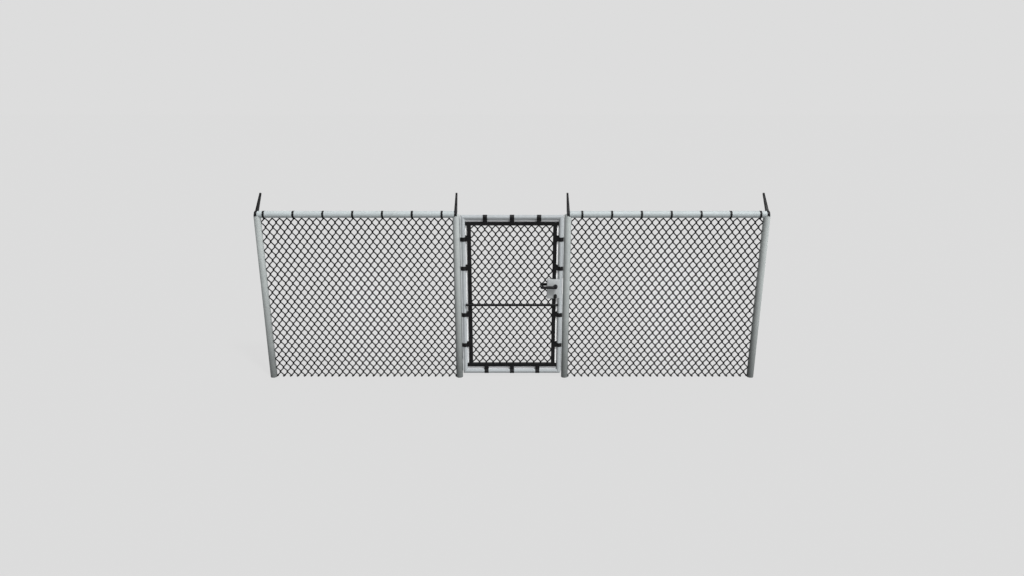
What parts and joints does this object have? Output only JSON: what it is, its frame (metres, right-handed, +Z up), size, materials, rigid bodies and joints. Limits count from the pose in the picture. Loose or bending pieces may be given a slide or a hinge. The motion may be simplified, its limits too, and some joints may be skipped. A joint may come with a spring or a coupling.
{
  "type": "chain-link fence gate",
  "caption": "Walk gate of steel tube and chain-link mesh between two posts, with a lever lock, leaning arms on the post tops and a fence bay on each side",
  "frame": {"origin": "centre of the foot of the hinge post, at ground level", "axes": "+X along the fence from the hinge post to the latch post, +Y away from the front, +Z up"},
  "size_m": [5.353, 0.266, 2.0175],
  "materials": {
    "posts": "dull hot-dip zinc on steel tube, darker towards the foot",
    "rails": "dull hot-dip zinc on steel tube",
    "gate_frame": "dull hot-dip zinc on steel tube",
    "lock_case": "smooth zinc coat",
    "mesh": "black plastic coat on steel wire",
    "black_steel": "black powder coat",
    "key_metal": "black oxide on brass"
  },
  "bodies": {
    "fence": {"left_end_post": "posts", "hinge_post": "posts", "latch_post": "posts", "right_end_post": "posts", "left_top_rail": "rails", "right_top_rail": "rails", "left_end_arm": "black_steel", "hinge_post_arm": "black_steel", "latch_post_arm": "black_steel", "right_end_arm": "black_steel", "left_rail_ties": "black_steel", "right_rail_ties": "black_steel", "left_mesh_outer": "mesh", "left_mesh_middle": "mesh", "left_mesh_inner": "mesh", "right_mesh_outer": "mesh", "right_mesh_middle": "mesh", "right_mesh_inner": "mesh", "post_hinge_halves": "rails"},
    "gate": {"gate_bottom_rail": "gate_frame", "gate_top_rail": "gate_frame", "hinge_stile": "gate_frame", "latch_stile": "gate_frame", "top_frame_strip": "gate_frame", "bottom_frame_strip": "gate_frame", "hinge_side_frame_strip": "gate_frame", "latch_side_frame_strip": "gate_frame", "top_mesh_bar": "black_steel", "bottom_mesh_bar": "black_steel", "hinge_side_mesh_bar": "black_steel", "latch_side_mesh_bar": "black_steel", "middle_bar": "black_steel", "gate_mesh": "mesh", "top_bands": "black_steel", "bottom_bands": "black_steel", "hinge_side_bands": "black_steel", "latch_side_bands": "black_steel", "lock_case": "lock_case", "latch_bolt": "lock_case", "lever_roses": "black_steel", "cylinder_covers": "black_steel", "key_cylinder": "key_metal", "gate_hinge_halves": "gate_frame"},
    "levers": {"front_lever": "black_steel", "back_lever": "black_steel"}
  },
  "joints": [
    {"name": "gate_swing", "type": "hinge", "parent": "fence", "child": "gate", "pos_m": [0.04055, 0.036, 0.9], "axis": [0, 0, 1], "range_deg": [0, 100]},
    {"name": "lever_turn", "type": "hinge", "parent": "gate", "child": "levers", "pos_m": [1.04125, 0, 1.05], "axis": [0, -1, 0], "range_deg": [0, 40], "stiffness_Nm_per_rad": 2, "springref_deg": -45.84}
  ]
}
